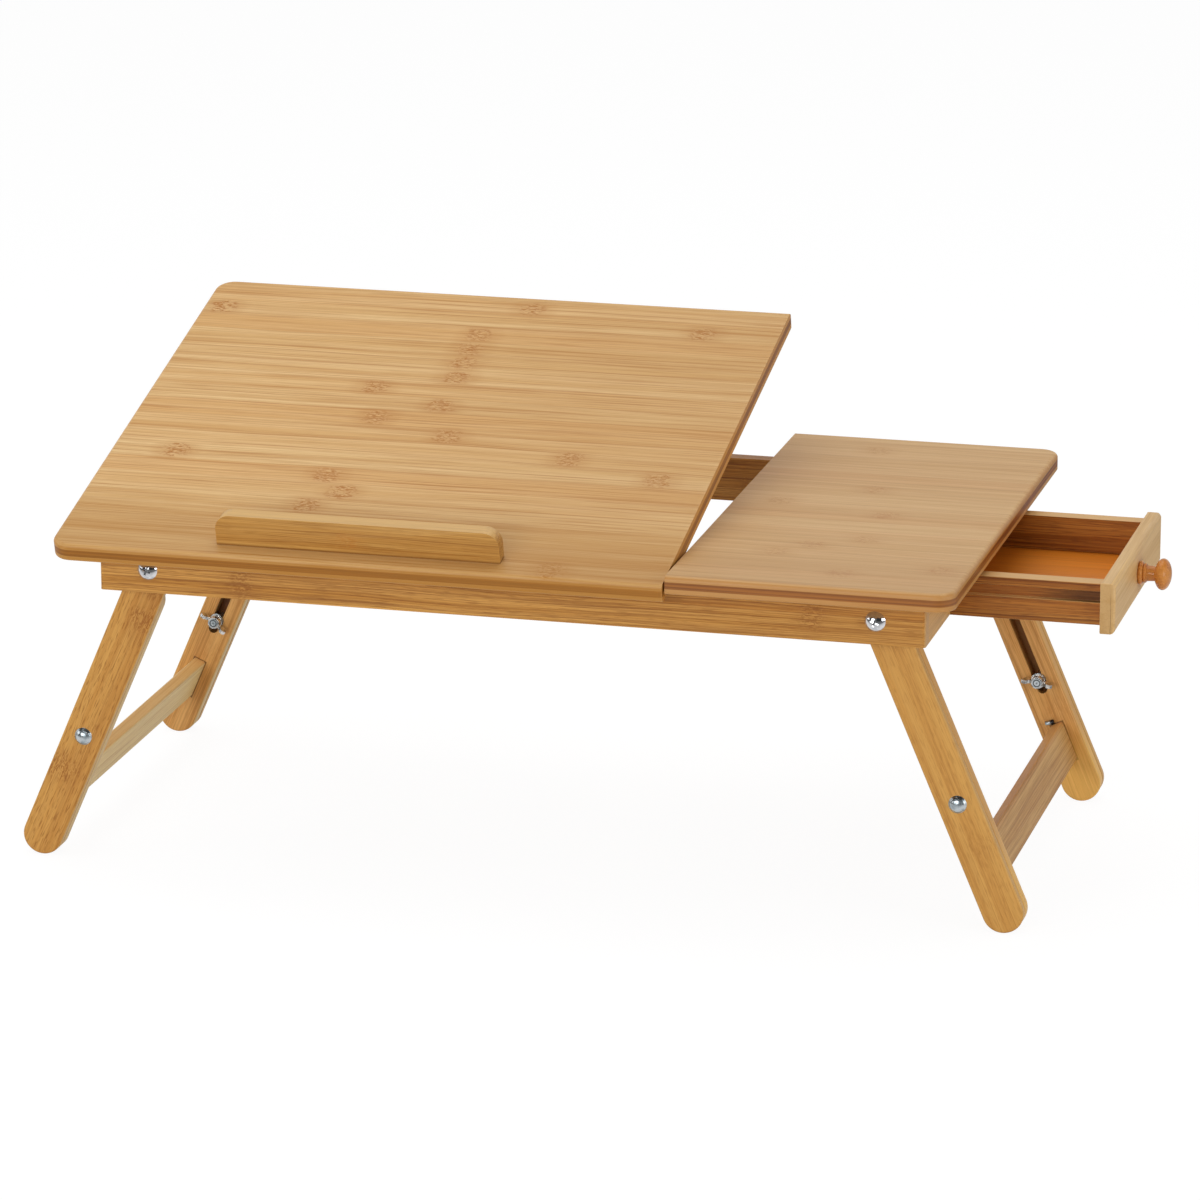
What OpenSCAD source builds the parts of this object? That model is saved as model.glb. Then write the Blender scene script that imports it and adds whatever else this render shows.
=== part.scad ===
// Folding bed tray: a laptop table with a tilting panel, a fixed panel over a side drawer,
// and four legs that fold under the top and slide to change its height.
// +Z is up, +X points towards the drawer and -Y towards the user. The origin is on the floor,
// in the middle of the whole object's length and depth.

/* [Top] */
// Overall length of the top
top_l = 550; // [540:1:600]
// Depth of the top
top_w = 350; // [345:1:390]
// Thickness of both panels
top_t = 11; // [9:0.5:14]
// Length of the fixed panel over the drawer
fixed_l = 171; // [169:1:176]
// Gap between the two panels
split_gap = 1.3; // [0.8:0.1:2]
// Radius of the upper edges
edge_r = 3; // [1:0.5:4]
// Radius of the lower edges
under_r = 1; // [0.5:0.25:2]
// Radius of the outer corners in plan
corner_r = 12; // [6:1:20]
// Angle of the tilting panel as shown
tilt = 14.4; // [5:0.1:25]
// Steepest angle of the tilting panel
tilt_max = 30; // [26:1:32]

/* [Frame] */
// Height of the rails and end boards
rail_h = 28; // [27.5:0.5:34]
// Thickness of the rails
rail_t = 10; // [8:0.5:14]
// Distance from the top's long edges to the rails
rail_inset = 22; // [18:1:28]
// Distance from the top's left edge to the rails' ends
left_inset = 24; // [15:1:30]
// Distance from the top's right edge to the rails' ends
right_inset = 20; // [12:1:24]
// Radius of the rails' upright end edges
rail_r = 2; // [0.5:0.5:4]
// Thickness of the end boards
end_t = 10; // [8:0.5:14]
// Width of the opening between the two right end boards
door_w = 158; // [156:1:164]
// Width of the stretcher under the tilting panel
stretcher_w = 30; // [28:1:32]
// Thickness of the stretcher
stretcher_t = 8; // [7.5:0.5:10]
// Radius of the wooden dowels in the joints
dowel_r = 2.5; // [2:0.25:3]
// Length of the wooden dowels
dowel_l = 16; // [12:1:20]
// Depth of a dowel in a rail
dowel_in = 6; // [4:0.5:7]

/* [Legs] */
// Angle of the open legs from upright
splay = 23.2; // [18:0.1:28]
// Width of the leg plates
leg_w = 25; // [22:0.5:25.5]
// Thickness of the outer leg plates
outer_t = 6.5; // [5:0.5:8]
// Thickness of the slotted leg plates
inner_t = 9.5; // [8:0.5:12]
// Edge radius of the leg plates
leg_r = 1.5; // [0.5:0.25:2.5]
// Distance from the pivot to the centre of the foot
foot_d = 193; // [185:1:193.5]
// Distance from the pivot to the carriage bolt
bolt_d = 122; // [118:1:128]
// Distance from the pivot to the upper centre of a slotted plate
plate_top_d = 27.5; // [26:0.5:30]
// Travel of the height adjustment
slide_max = 80; // [60:1:84]
// Room between the bolt and the slot's lower end
slot_end = 6; // [1:0.5:8]
// Room between the bolt and the slot's upper end at full height
slot_spare = 2; // [1:0.5:3]
// Distance from the pivot to the crossbar
bar_d = 165; // [160:1:170]
// Width of the crossbar along the leg
bar_w = 26; // [20:1:28]
// Thickness of the crossbar
bar_t = 8; // [7:0.5:12]
// Room between a rail and the leg beside it
leg_gap = 3.4; // [3.2:0.1:6]
// Room between an open leg and the end board that stops it
stop_gap = 0.35; // [0.2:0.05:1]

/* [Hardware] */
// Radius of the pivot and carriage bolts
bolt_r = 3; // [2.5:0.25:3.5]
// Radius of the pivot bolts' domed heads
pivot_head_r = 6.2; // [5:0.1:7]
// Height of the pivot bolts' domed heads
pivot_head_h = 3; // [2:0.25:4]
// Length of the cross in the pivot bolts' heads
cross_l = 5.4; // [4:0.2:6]
// Width of the cross in the pivot bolts' heads
cross_w = 1.2; // [0.8:0.1:1.6]
// Radius of the carriage bolts' heads
carriage_head_r = 5.5; // [4.5:0.25:6]
// Height of the carriage bolts' heads
carriage_head_h = 2.6; // [1.5:0.1:2.8]
// Radius of the spacers on the pivot bolts
spacer_r = 6; // [5:0.25:6.5]
// Radius of the washers under the wing nuts
washer_r = 4.75; // [4.5:0.25:6]
// Thickness of the washers
washer_t = 1.2; // [0.8:0.1:2]
// Width across the flats of the lock nuts
nut_w = 10; // [9:0.5:11]
// Height of the lock nuts
nut_h = 5; // [4:0.5:6]
// Span of the wing nuts
wing_span = 20; // [18:1:24]
// Height of the wing nuts' middle
wing_boss_h = 5.5; // [5:0.5:8]
// Thickness of the wings
wing_t = 2.2; // [1.5:0.1:3]
// Length of bolt beyond each nut
bolt_out = 0.75; // [0.5:0.25:3]
// Turn of the left wing nuts on their bolts
wing_turn_left = 14; // [-90:1:90]
// Turn of the right wing nuts on their bolts
wing_turn_right = 31; // [-90:1:90]

/* [Ledge] */
// Length of the ledge that stops a book or laptop
ledge_l = 175; // [120:1:200]
// Height of the ledge above the panel
ledge_h = 20; // [14:1:26]
// Thickness of the ledge
ledge_t = 9; // [8:0.5:12]
// Distance from the top's left edge to the ledge
ledge_x = 102; // [90:1:110]
// Distance from the panel's front edge to the ledge
ledge_y = 12.7; // [10:0.1:14]
// Radius of the ledge's upper corners
ledge_r = 9.5; // [3:0.5:12]

/* [Hinges] */
// Length of a hinge
hinge_l = 50; // [36:1:60]
// Distance from the tilting panel's ends to the hinges
hinge_end = 45; // [40:1:55]
// Distance from the knuckles' centre to the leaves' far edge
leaf_w = 9; // [8.5:0.5:9.5]
// Thickness of a leaf
leaf_t = 1; // [0.8:0.1:1.4]
// Radius of the knuckles
knuckle_r = 2.5; // [2:0.1:2.8]
// Radius of the hinge pins
hinge_pin_r = 1.2; // [0.8:0.1:1.4]
// Radius of the wood screws' shanks
screw_r = 1.25; // [1:0.25:1.75]
// Radius of the wood screws' heads
screw_head_r = 2.2; // [2:0.1:2.4]

/* [Prop] */
// Room between the folded prop and the folded rear legs
prop_room = 0.6; // [0.5:0.1:10]
// Length of the prop between its dowels
prop_len = 90; // [84:1:90]
// Overall width of the prop
prop_w = 80; // [70:1:80]
// Width of the prop's side bars
prop_bar_w = 8; // [6:0.5:10]
// Thickness of the prop's side bars
prop_bar_t = 6; // [5.5:0.5:6.5]
// Radius of the prop's pivot and foot dowels
prop_dowel_r = 2.5; // [2:0.25:2.6]
// Distance from the panel's underside to the prop's pivot
prop_drop = 3.6; // [3.4:0.1:4]
// Fall of the prop's foot against the rise of its pivot, near the flat position
prop_gain = 1.2015; // [1.18:0.0005:1.21]
// Width of the blocks that hold the prop's pivot
block_w = 11; // [9:0.5:14]
// Wood below the prop's pivot in its blocks
block_wall = 2; // [1.5:0.25:3]
// Width of each notched strip
rack_w = 6; // [5:0.5:8]
// Height of each notched strip
rack_h = 6.5; // [6:0.5:8]
// Depth of the notches
notch_h = 4; // [3:0.25:5]
// Spacing of the notches
notch_pitch = 12; // [10:1:16]
// Number of notches in each strip
notch_n = 9; // [6:1:9]

/* [Drawer] */
// Width of the drawer over its sides
drawer_w = 154; // [148:1:155]
// Length of the drawer behind its face board
drawer_l = 147; // [140:1:148]
// Height of the drawer's sides
drawer_h = 25.5; // [24:0.5:28]
// Thickness of the drawer's sides
drawer_t = 11; // [9:0.5:12]
// Thickness of the drawer's back
drawer_back_t = 10; // [8:0.5:12]
// Thickness of the drawer's bottom
bottom_t = 3; // [2.5:0.5:4]
// Depth of the grooves that hold the bottom
bottom_groove = 4; // [3:0.5:4.5]
// Distance from the drawer's underside to its bottom board
bottom_up = 1; // [0.5:0.25:2]
// Distance from the top's underside to the drawer
drawer_drop = 3.5; // [2:0.25:5]
// Width of the face board
face_w = 168; // [164:1:176]
// Height of the face board
face_h = 31; // [30:0.5:34]
// Thickness of the face board
face_t = 9; // [7:0.5:12]
// Edge radius of the face board
face_r = 3; // [1:0.5:4]
// Distance from the top's underside to the face board
face_drop = 1.3; // [0.8:0.1:2]
// How far the drawer is pulled out as shown
drawer_open = 90; // [0:1:105]
// Height of the runner grooves
groove_h = 6.8; // [5:0.1:7.2]
// Depth of the runner grooves
groove_depth = 4; // [3:0.25:4.5]
// Distance from the top of the sides to the runner grooves
groove_z = 5; // [4.6:0.1:6.5]
// Width of the guide blocks beside the drawer
guide_w = 12; // [10:0.5:14]
// Height of the guide blocks
guide_h = 26; // [20:0.5:27]
// Thickness of the rail that stops the drawer
stop_t = 10; // [8:0.5:10]
// How far that rail reaches under the fixed panel
stop_lap = 3; // [2:0.25:4]

/* [Knob] */
// Length of the knob
knob_l = 20; // [18:0.5:22]
// Radius of the knob's ball
knob_r = 9.6; // [8:0.2:12]
// Radius of the knob's foot
knob_foot_r = 7.2; // [6:0.2:9]
// Radius of the knob's neck
knob_neck_r = 4.35; // [3.5:0.05:5.5]
// Radius of the bead round the knob's foot
bead_r = 1.5; // [1:0.1:1.8]
// Step between the knob's two beads
bead_step = 2.4; // [1.5:0.1:3]

/* [Fits] */
// Radial clearance of bolts, pins and dowels in their holes
pin_gap = 0.05; // [0.02:0.01:0.1]
// Clearance of wood screws in their holes
screw_room = 0.05; // [0.02:0.01:0.1]
// Gap between faces that turn or slide on each other
slip_gap = 0.1; // [0.05:0.05:0.2]
// Side clearance of the carriage bolts in their slots
slot_gap = 0.2; // [0.1:0.05:0.3]
// Side clearance of the drawer between its guides
side_gap = 1; // [0.6:0.1:1.2]
// Clearance of the runners in the drawer's grooves
runner_gap = 0.6; // [0.4:0.1:0.8]
// Gap between the closed face board and the end boards
face_gap = 0.5; // [0.3:0.1:1]
// Gap between the closed drawer and the rail behind it
stop_room = 1.5; // [1:0.1:2]
// Least gap between the prop's foot and the notched strips
rack_gap = 0.6; // [0.5:0.1:1]
// Gap between the knuckles and the wood round them
knuckle_room = 0.5; // [0.3:0.1:0.6]

/* [Hidden] */
$fn = 64;
cut = 1;                                    // overshoot of cutting shapes
cross_turn = 20;                            // how the pivot bolts' crosses happen to stand

pale_cane = [0.83, 0.67, 0.44];
honey = [0.76, 0.56, 0.31];
cane = [0.72, 0.50, 0.27];
dark_cane = [0.55, 0.35, 0.18];
steel = [0.75, 0.76, 0.78];
zinc = [0.62, 0.63, 0.64];

// Heights
pivot_z = foot_d * cos(splay) + leg_w / 2;
rail_top = pivot_z + rail_h / 2;
rail_bottom = rail_top - rail_h;

// Frame in plan
half_l = top_l / 2;
half_w = top_w / 2;
rail_out = half_w - rail_inset;
rail_in = rail_out - rail_t;
rail_x0 = -half_l + left_inset;
rail_x1 = half_l - right_inset;
split_x = half_l - fixed_l;
tilt_x1 = split_x - split_gap;

// Legs: depth of their layers, and the pivots that let an open leg meet its end board
leg_out = rail_in - leg_gap;
leg_mid = leg_out - outer_t;
leg_in = leg_mid - inner_t;
pivot_in = end_t + (leg_w / 2 + stop_gap + rail_h / 2 * sin(splay)) / cos(splay);
function pivot_x(end) = end < 0 ? rail_x0 + pivot_in : rail_x1 - pivot_in;
bore_r = bolt_r + pin_gap;

// Hinges of the tilting panel
hinge_y = -(rail_out + knuckle_room);
hinge_x = [-half_l + hinge_end, tilt_x1 - hinge_end - hinge_l];

// Prop: the folded one lies between the hinges and the rear legs
prop_p = leg_in - hinge_y - prop_room - prop_bar_t / 2 - prop_len;
prop_ratio = 1 + prop_gain * prop_p / prop_len;
prop_turn = tilt * prop_ratio;
function foot_z(a) = rail_top + prop_p * sin(a) - prop_drop * cos(a)
    - prop_len * sin(a * prop_ratio - a);
rack_top = min([for (a = [0:0.5:tilt_max]) foot_z(a)]) - prop_dowel_r - rack_gap;
stretcher_top = rack_top - rack_h;
stretcher_x = (pivot_x(-1) + pivot_x(1)) / 2;
stretcher_z = stretcher_top - stretcher_t / 2;

// Drawer
drawer_top = rail_top - drawer_drop;
drawer_bottom_z = drawer_top - drawer_h;
face_back = rail_x1 + face_gap + drawer_open;
drawer_back_x = face_back - drawer_l;
floor_z = drawer_bottom_z + bottom_up;
face_top = rail_top - face_drop;
face_mid = face_top - face_h / 2;
stop_x1 = min(split_x + stop_lap, rail_x1 + face_gap - drawer_l - stop_room);
guide_in = drawer_w / 2 + side_gap;
groove_top = drawer_top - groove_z;

// The whole object's ends, and so its middle
left_end = pivot_x(-1) - foot_d * sin(splay) - leg_w / 2;
right_end = face_back + face_t + knob_l;
mid_x = (left_end + right_end) / 2;

// ---------- helpers ----------

// One coloured piece, moved from the top's own centre to the object's frame.
module piece(colour) color(colour) translate([-mid_x, 0, 0]) children();

// What lies outside a round corner of radius r at the origin, with the material at +x, +y.
module corner_cut(r) {
    difference() {
        translate([-cut, -cut]) square(r + cut);
        translate([r, r]) circle(r);
    }
}

// Rectangle from the origin with four round corners.
module round_rect(w, h, r) {
    difference() {
        square([w, h]);
        for (x = [0, 1], y = [0, 1])
            translate([x * w, y * h]) mirror([x, 0]) mirror([0, y]) corner_cut(r);
    }
}

// A 2D shape in x and z, extruded from y = y0 to y = y1.
module upright(y0, y1) translate([0, y1, 0]) rotate([90, 0, 0]) linear_extrude(y1 - y0) children();

// Cylinder along Y from y0 to y1.
module y_rod(r, y0, y1) upright(y0, y1) circle(r);

// Cylinder along X from x0 to x1.
module x_rod(r, x0, x1) translate([x0, 0, 0]) rotate([0, 90, 0]) cylinder(r = r, h = x1 - x0);

// Box from one corner to the other.
module block(a, b) translate(a) cube(b - a);

// Domed head of radius r and height h on the plane y = 0, rising towards +Y.
module dome(r, h) {
    ball_r = (r * r + h * h) / (2 * h);
    intersection() {
        translate([0, h - ball_r, 0]) sphere(ball_r);
        y_rod(r, 0, h + cut);
    }
}

// The rear half is modelled, and side -1 mirrors it to the front.
module on_side(side) mirror([0, side < 0 ? 1 : 0, 0]) children();

// Countersunk wood screw, its head's face at z = 0 and its point down. room > 0 gives its hole.
module wood_screw(l, room = 0) {
    head_h = screw_head_r - screw_r;
    translate([0, 0, -head_h])
        cylinder(r1 = screw_r + room, r2 = screw_head_r + room, h = head_h + (room > 0 ? room : 0));
    translate([0, 0, -l - room]) cylinder(r = screw_r + room, h = l - head_h + room);
}

// ---------- panels ----------

// Cutter for a rounded upper edge, along X from the origin, with the panel at +Y and below.
module edge_tool(l, r) mirror([0, 0, 1]) rotate([90, 0, 90]) linear_extrude(l) corner_cut(r);

// Cutters for the edges of a panel from x0 to x1 that are rounded with radius r at z = top_t.
module edge_tools(x0, x1, r, outer_left) {
    for (side = [-1, 1])
        on_side(-side) translate([x0 - cut, -half_w, top_t]) edge_tool(x1 - x0 + 2 * cut, r);
    translate([outer_left ? x0 : x1, 0, 0]) mirror([outer_left ? 0 : 1, 0, 0])
        translate([0, half_w + cut, top_t]) rotate([0, 0, -90]) edge_tool(top_w + 2 * cut, r);
}

// Section from a corner's centre outwards, with both outer edges rounded.
module corner_section() {
    difference() {
        square([corner_r, top_t]);
        translate([corner_r, top_t]) mirror([1, 0]) mirror([0, 1]) corner_cut(edge_r);
        translate([corner_r, 0]) mirror([1, 0]) corner_cut(under_r);
    }
}

// Cutter for an outer corner, its centre at the origin and the corner towards -X, -Y.
module corner_tool() {
    difference() {
        block([-corner_r - cut, -corner_r - cut, -cut], [0, 0, top_t + cut]);
        rotate_extrude() corner_section();
    }
}

// Panel from x0 to x1, its underside at z = 0, rounded everywhere but at the split.
module panel(x0, x1, outer_left) {
    outer_x = outer_left ? x0 + corner_r : x1 - corner_r;
    difference() {
        block([x0, -half_w, 0], [x1, half_w, top_t]);
        edge_tools(x0, x1, edge_r, outer_left);
        translate([0, 0, top_t]) mirror([0, 0, 1]) edge_tools(x0, x1, under_r, outer_left);
        for (side = [-1, 1])
            on_side(-side) translate([outer_x, -half_w + corner_r, 0])
                mirror([outer_left ? 0 : 1, 0, 0]) corner_tool();
    }
}

module fixed_top() piece(pale_cane) translate([0, 0, rail_top]) panel(split_x, half_l, false);

// From the flat position to the tilted one.
module tilted() {
    translate([0, hinge_y, rail_top]) rotate([tilt, 0, 0])
        translate([0, -hinge_y, -rail_top]) children();
}

module tilt_top() {
    piece(pale_cane) tilted() difference() {
        translate([0, 0, rail_top]) panel(-half_l, tilt_x1, true);
        mirror_about_joint() leaf_recess();
        hinge_screws(1, screw_room);
        ledge_screw_set(screw_room);
        block_screw_set(screw_room);
    }
}

module book_ledge() {
    piece(honey) tilted() difference() {
        translate([-half_l + ledge_x, 0, rail_top + top_t])
            upright(-half_w + ledge_y, -half_w + ledge_y + ledge_t) ledge_shape();
        ledge_screw_set(screw_room);
    }
}

// Ledge from the front: only its upper corners are round.
module ledge_shape() {
    difference() {
        square([ledge_l, ledge_h]);
        for (x = [0, 1])
            translate([x * ledge_l, ledge_h]) mirror([x, 0]) mirror([0, 1]) corner_cut(ledge_r);
    }
}

// Two screws through the panel into the ledge, from below.
module ledge_screw_set(room = 0) {
    for (x = [ledge_l / 6, ledge_l * 5 / 6])
        translate([-half_l + ledge_x + x, -half_w + ledge_y + ledge_t / 2, rail_top])
            mirror([0, 0, 1]) wood_screw(top_t + ledge_h / 2, room);
}

module ledge_screws() piece(zinc) tilted() ledge_screw_set();

// ---------- frame ----------

module rail(side) {
    on_side(side) difference() {
        translate([rail_x0, rail_in, rail_bottom]) linear_extrude(rail_h) rail_plan();
        for (end = [-1, 1])
            translate([pivot_x(end), 0, pivot_z]) y_rod(bore_r, rail_in - cut, rail_out + cut);
        dowel_set(pin_gap);
    }
}

// Rail from above: its outer upright edges are round.
module rail_plan() {
    rail_l = rail_x1 - rail_x0;
    difference() {
        square([rail_l, rail_t]);
        for (x = [0, 1])
            translate([x * rail_l, rail_t]) mirror([x, 0]) mirror([0, 1]) corner_cut(rail_r);
    }
}

module front_rail() {
    piece(cane) difference() {
        rail(-1);
        leaf_recess();
        hinge_screws(-1, screw_room);
    }
}

module rear_rail() piece(cane) rail(1);

// Dowels along Y between the rear rail and each cross member.
module dowel_set(room = 0) {
    for (x = [rail_x0 + end_t / 2, rail_x1 - end_t / 2], z = [-rail_h / 4, rail_h / 4])
        translate([x, 0, pivot_z + z]) joint_dowel(room);
    for (x = [-stretcher_w / 4, stretcher_w / 4])
        translate([stretcher_x + x, 0, stretcher_z]) joint_dowel(room);
}

module joint_dowel(room) {
    y_rod(dowel_r + room, rail_in + dowel_in - dowel_l - room, rail_in + dowel_in + room);
}

module frame_dowels() piece(pale_cane) for (side = [-1, 1]) on_side(side) dowel_set();

module left_end_board() {
    piece(dark_cane) difference() {
        block([rail_x0, -rail_in, rail_bottom], [rail_x0 + end_t, rail_in, rail_top]);
        for (side = [-1, 1]) on_side(side) dowel_set(pin_gap);
    }
}

module right_end_board(side) {
    on_side(side) difference() {
        block([rail_x1 - end_t, door_w / 2, rail_bottom], [rail_x1, rail_in, rail_top]);
        dowel_set(pin_gap);
    }
}

module right_end_board_front() piece(cane) right_end_board(-1);

module right_end_board_rear() piece(cane) right_end_board(1);

module centre_stretcher() {
    piece(dark_cane) difference() {
        translate([stretcher_x, 0, stretcher_z])
            cube([stretcher_w, 2 * rail_in, stretcher_t], center = true);
        for (side = [-1, 1]) on_side(side) dowel_set(pin_gap);
    }
}

// Saw-toothed strips that the prop's foot drops into.
module notched_strips() {
    strip_l = notch_n * notch_pitch;
    slope_end = 0.3;                        // shares of the pitch
    flat_end = 0.6;
    strip_y = (hinge_y + prop_p + rail_in) / 2 - strip_l / 2 - notch_pitch;
    teeth = [for (i = [0:notch_n - 1]) each [
        [i * notch_pitch, rack_h], [(i + slope_end) * notch_pitch, rack_h - notch_h],
        [(i + flat_end) * notch_pitch, rack_h - notch_h]]];
    piece(honey) for (x = [-1, 1])
        translate([stretcher_x + x * (stretcher_w / 2 - rack_w) - rack_w / 2, strip_y,
                stretcher_top])
            rotate([90, 0, 90]) linear_extrude(rack_w)
                polygon(concat([[0, 0]], teeth, [[strip_l, rack_h], [strip_l, 0]]));
}

module drawer_stop_rail() {
    piece(dark_cane) block([stop_x1 - stop_t, -guide_in - guide_w, rail_top - guide_h],
        [stop_x1, guide_in + guide_w, rail_top]);
}

module drawer_guides() {
    piece(dark_cane) for (side = [-1, 1]) on_side(side)
        block([stop_x1, guide_in, rail_top - guide_h],
            [rail_x1 - end_t, guide_in + guide_w, rail_top]);
}

// Runners on the guides: the drawer's grooves hang on them.
module drawer_runners() {
    runner_top = groove_top - slip_gap;
    runner_bottom = groove_top - groove_h + runner_gap;
    piece(honey) for (side = [-1, 1]) on_side(side)
        block([stop_x1, drawer_w / 2 - groove_depth + runner_gap, runner_bottom],
            [rail_x1 - end_t, guide_in, runner_top]);
}

// ---------- leg pivots ----------

module at_pivots() {
    for (end = [-1, 1], side = [-1, 1])
        on_side(side) translate([pivot_x(end), 0, pivot_z]) children();
}

module pivot_bolts() {
    nut_face = leg_mid - slip_gap;
    piece(steel) at_pivots() {
        translate([0, rail_out, 0]) difference() {
            dome(pivot_head_r, pivot_head_h);
            cross_recess();
        }
        y_rod(bolt_r, nut_face - nut_h - bolt_out, rail_out);
    }
}

// Room for a cross-point screwdriver in the upper half of a pivot bolt's head.
module cross_recess() {
    for (turn = [cross_turn, cross_turn + 90])
        rotate([0, turn, 0])
            block([-cross_l / 2, pivot_head_h / 2, -cross_w / 2],
                [cross_l / 2, pivot_head_h + cut, cross_w / 2]);
}

module pivot_spacers() {
    piece(zinc) at_pivots() difference() {
        y_rod(spacer_r, leg_out + slip_gap, rail_in);
        y_rod(bore_r, leg_out, rail_in + cut);
    }
}

module lock_nuts() {
    nut_face = leg_mid - slip_gap;
    piece(zinc) at_pivots() difference() {
        upright(nut_face - nut_h, nut_face) circle(r = nut_w / 2 / cos(30), $fn = 6);
        y_rod(bore_r, nut_face - nut_h - cut, nut_face + cut);
    }
}

// ---------- hinges ----------

module at_hinges() {
    for (x = hinge_x) translate([x, hinge_y, rail_top]) children();
}

// From the lower leaf's side of the joint to the upper leaf's.
module mirror_about_joint() {
    translate([0, 0, rail_top]) mirror([0, 0, 1]) translate([0, 0, -rail_top]) children();
}

// Room for a leaf and the knuckles in the wood below the joint.
module leaf_recess() {
    at_hinges() {
        block([-knuckle_room, 0, -leaf_t], [hinge_l + knuckle_room, leaf_w + slip_gap, cut]);
        x_rod(knuckle_r + knuckle_room, -knuckle_room, hinge_l + knuckle_room);
    }
}

// One leaf under the joint's plane with its knuckles, each from one x to another.
module leaf(knuckles) {
    root = knuckle_r + knuckle_room;
    difference() {
        union() {
            block([0, root, -leaf_t], [hinge_l, leaf_w, -slip_gap / 2]);
            for (k = knuckles) {
                block([k[0], 0, -leaf_t], [k[1], root, -slip_gap / 2]);
                x_rod(knuckle_r, k[0], k[1]);
            }
        }
        x_rod(hinge_pin_r + pin_gap, -cut, hinge_l + cut);
    }
}

end_knuckle_l = hinge_l * 0.3;
middle_knuckle = [[end_knuckle_l + slip_gap, hinge_l - end_knuckle_l - slip_gap]];
end_knuckles = [[0, end_knuckle_l], [hinge_l - end_knuckle_l, hinge_l]];

module hinge_lower_leaves() {
    piece(steel) difference() {
        at_hinges() leaf(middle_knuckle);
        hinge_screws(-1, screw_room);
    }
}

module hinge_upper_leaves() {
    piece(steel) tilted() difference() {
        mirror_about_joint() at_hinges() leaf(end_knuckles);
        hinge_screws(1, screw_room);
    }
}

module hinge_pins() piece(steel) at_hinges() x_rod(hinge_pin_r, 0, hinge_l);

// Screws of the lower leaves (way -1) or the upper ones (way 1), their heads flush with the leaf.
module hinge_screws(way, room = 0) {
    screw_y = (knuckle_r + knuckle_room + leaf_w) / 2;
    screw_l = way < 0 ? rail_h / 2 - bolt_r : top_t - edge_r;
    for (x = hinge_x, s = [end_knuckle_l / 2, hinge_l - end_knuckle_l / 2])
        translate([x + s, hinge_y + screw_y, rail_top + way * slip_gap / 2])
            mirror([0, 0, way < 0 ? 0 : 1]) wood_screw(screw_l, room);
}

module hinge_lower_screws() piece(zinc) hinge_screws(-1);

module hinge_upper_screws() piece(zinc) tilted() hinge_screws(1);

// ---------- prop ----------

block_h = prop_drop + prop_dowel_r + block_wall;
block_x = prop_w / 2 - prop_bar_w - slip_gap - block_w;
block_front = 6;
block_rear = 14;
block_screw_in = 5;

// From the prop's pivot in the flat panel's frame.
module at_prop() translate([0, hinge_y + prop_p, rail_top - prop_drop]) children();

module block_screw_set(room = 0) {
    screw_y = block_rear - block_screw_in;
    for (x = [-1, 1])
        at_prop() translate([x * (block_x + block_w / 2), screw_y, prop_drop - block_h])
            mirror([0, 0, 1]) wood_screw(block_h + top_t / 2, room);
}

module prop_blocks() {
    piece(honey) tilted() difference() {
        at_prop() for (x = [-1, 1])
            translate([x * (block_x + block_w / 2) - block_w / 2, 0, 0])
                block([0, -block_front, prop_drop - block_h], [block_w, block_rear, prop_drop]);
        at_prop() x_rod(prop_dowel_r + pin_gap, -prop_w, prop_w);
        block_screw_set(screw_room);
    }
}

module prop_block_screws() piece(zinc) tilted() block_screw_set();

// From the prop's own frame, with its pivot at the origin and its foot towards +Y.
module prop_turned() tilted() at_prop() rotate([-prop_turn, 0, 0]) children();

module prop_side_bars() {
    piece(honey) prop_turned() for (x = [-1, 1]) {
        bar_x = x < 0 ? -prop_w / 2 : prop_w / 2 - prop_bar_w;
        difference() {
            translate([bar_x, 0, 0]) rotate([90, 0, 90]) linear_extrude(prop_bar_w) bar_side();
            x_rod(prop_dowel_r + pin_gap, -prop_w, prop_w);
            translate([0, prop_len, 0]) x_rod(prop_dowel_r + pin_gap, -prop_w, prop_w);
        }
    }
}

// Side bar from the side, with round ends about both dowels.
module bar_side() {
    for (y = [0, prop_len]) translate([y, 0]) circle(prop_bar_t / 2);
    translate([0, -prop_bar_t / 2]) square([prop_len, prop_bar_t]);
}

module prop_pivot_dowel() piece(pale_cane) prop_turned() x_rod(prop_dowel_r, -prop_w / 2, prop_w / 2);

module prop_foot_dowel() {
    piece(pale_cane) prop_turned() translate([0, prop_len, 0])
        x_rod(prop_dowel_r, -prop_w / 2, prop_w / 2);
}

// ---------- legs ----------

// From a rear leg's own frame, with its pivot at the origin and its foot towards -Z.
module at_leg(end, side) {
    on_side(side) translate([pivot_x(end), 0, pivot_z]) rotate([0, -end * splay, 0]) children();
}

// Leg plate with round ends about d0 and d1 below the pivot, y0 to y1 thick, edges rounded.
module leg_plate(d0, d1, y0, y1) {
    t = y1 - y0;
    translate([-leg_w / 2, y0, -d1]) linear_extrude(d1 - d0) round_rect(leg_w, t, leg_r);
    for (d = [d0, d1]) translate([0, y0, -d]) rotate([-90, 0, 0]) rotate_extrude() leg_end_section(t);
}

// Section of a leg's round end from its centre outwards.
module leg_end_section(t) {
    intersection() {
        translate([-leg_w / 2, 0]) round_rect(leg_w, t, leg_r);
        square([leg_w, t]);
    }
}

module outer_leg(end, side) {
    piece(cane) at_leg(end, side) difference() {
        leg_plate(0, foot_d, leg_mid, leg_out);
        for (d = [0, bolt_d]) translate([0, 0, -d]) y_rod(bore_r, leg_mid - cut, leg_out + cut);
    }
}

module left_leg_front() outer_leg(-1, -1);

module left_leg_rear() outer_leg(-1, 1);

module right_leg_front() outer_leg(1, -1);

module right_leg_rear() outer_leg(1, 1);

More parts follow.
